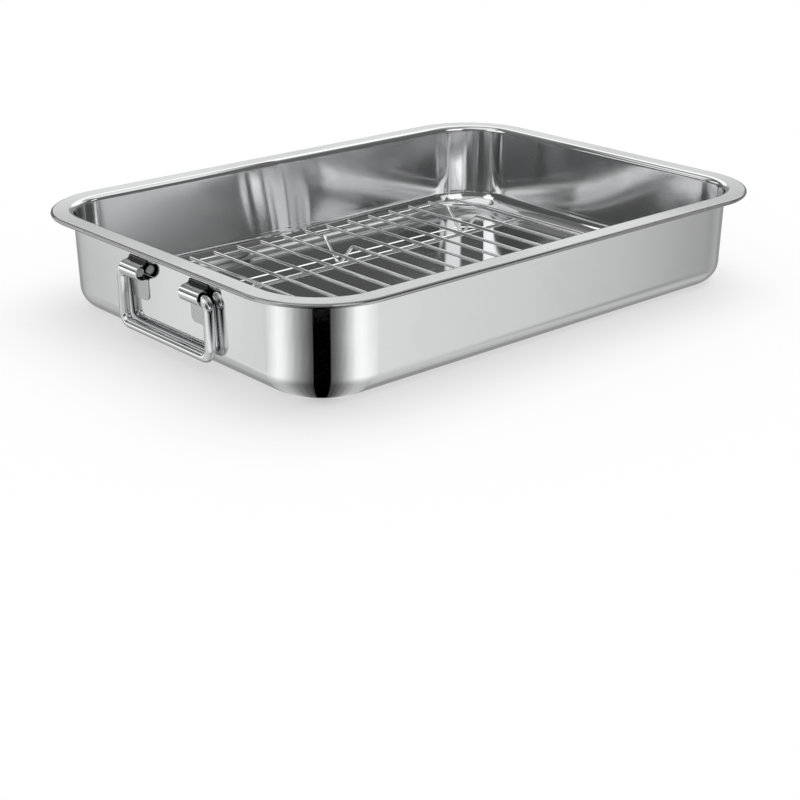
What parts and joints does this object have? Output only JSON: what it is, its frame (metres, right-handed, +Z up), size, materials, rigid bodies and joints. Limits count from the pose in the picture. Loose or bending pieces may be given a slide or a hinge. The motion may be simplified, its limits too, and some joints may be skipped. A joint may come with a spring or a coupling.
{
  "type": "roasting pan with rack",
  "caption": "Rectangular stainless roasting pan with a flat rolled rim, swinging wire handles on the short ends and a footed wire rack that lifts out.",
  "frame": {"origin": "middle of the base, on the surface the pan stands on", "axes": "+X along the long side, towards the right-hand handle; +Y towards the back long side; +Z up"},
  "size_m": [0.4, 0.295, 0.064],
  "materials": {
    "pan_steel": "mirror-polished stainless sheet with a satin rim",
    "handle_steel": "bright polished stainless wire",
    "strap_steel": "polished stainless strap",
    "rack_wire": "bright plated steel wire"
  },
  "bodies": {
    "pan": {"pan_body": "pan_steel", "handle_strap_left_a": "strap_steel", "handle_strap_left_b": "strap_steel", "handle_strap_right_a": "strap_steel", "handle_strap_right_b": "strap_steel"},
    "left_handle": {"handle_left": "handle_steel"},
    "right_handle": {"handle_right": "handle_steel"},
    "rack": {"rack_frame": "rack_wire", "rack_long_wire_front": "rack_wire", "rack_long_wire_back": "rack_wire", "rack_cross_wire_01": "rack_wire", "rack_cross_wire_02": "rack_wire", "rack_cross_wire_03": "rack_wire", "rack_cross_wire_04": "rack_wire", "rack_cross_wire_05": "rack_wire", "rack_cross_wire_06": "rack_wire", "rack_cross_wire_07": "rack_wire", "rack_cross_wire_08": "rack_wire", "rack_cross_wire_09": "rack_wire", "rack_cross_wire_10": "rack_wire", "rack_cross_wire_11": "rack_wire", "rack_cross_wire_12": "rack_wire", "rack_cross_wire_13": "rack_wire", "rack_cross_wire_14": "rack_wire", "rack_cross_wire_15": "rack_wire"}
  },
  "joints": [
    {"name": "left_handle_swing", "type": "hinge", "parent": "pan", "child": "left_handle", "pos_m": [-0.18938, 0, 0.0454], "axis": [0, 1, 0], "range_deg": [-1, 135]},
    {"name": "right_handle_swing", "type": "hinge", "parent": "pan", "child": "right_handle", "pos_m": [0.18938, 0, 0.0454], "axis": [0, -1, 0], "range_deg": [-1, 135]},
    {"name": "rack_lift", "type": "slide", "parent": "pan", "child": "rack", "axis": [0, 0, 1], "range_m": [0, 0.12]}
  ]
}
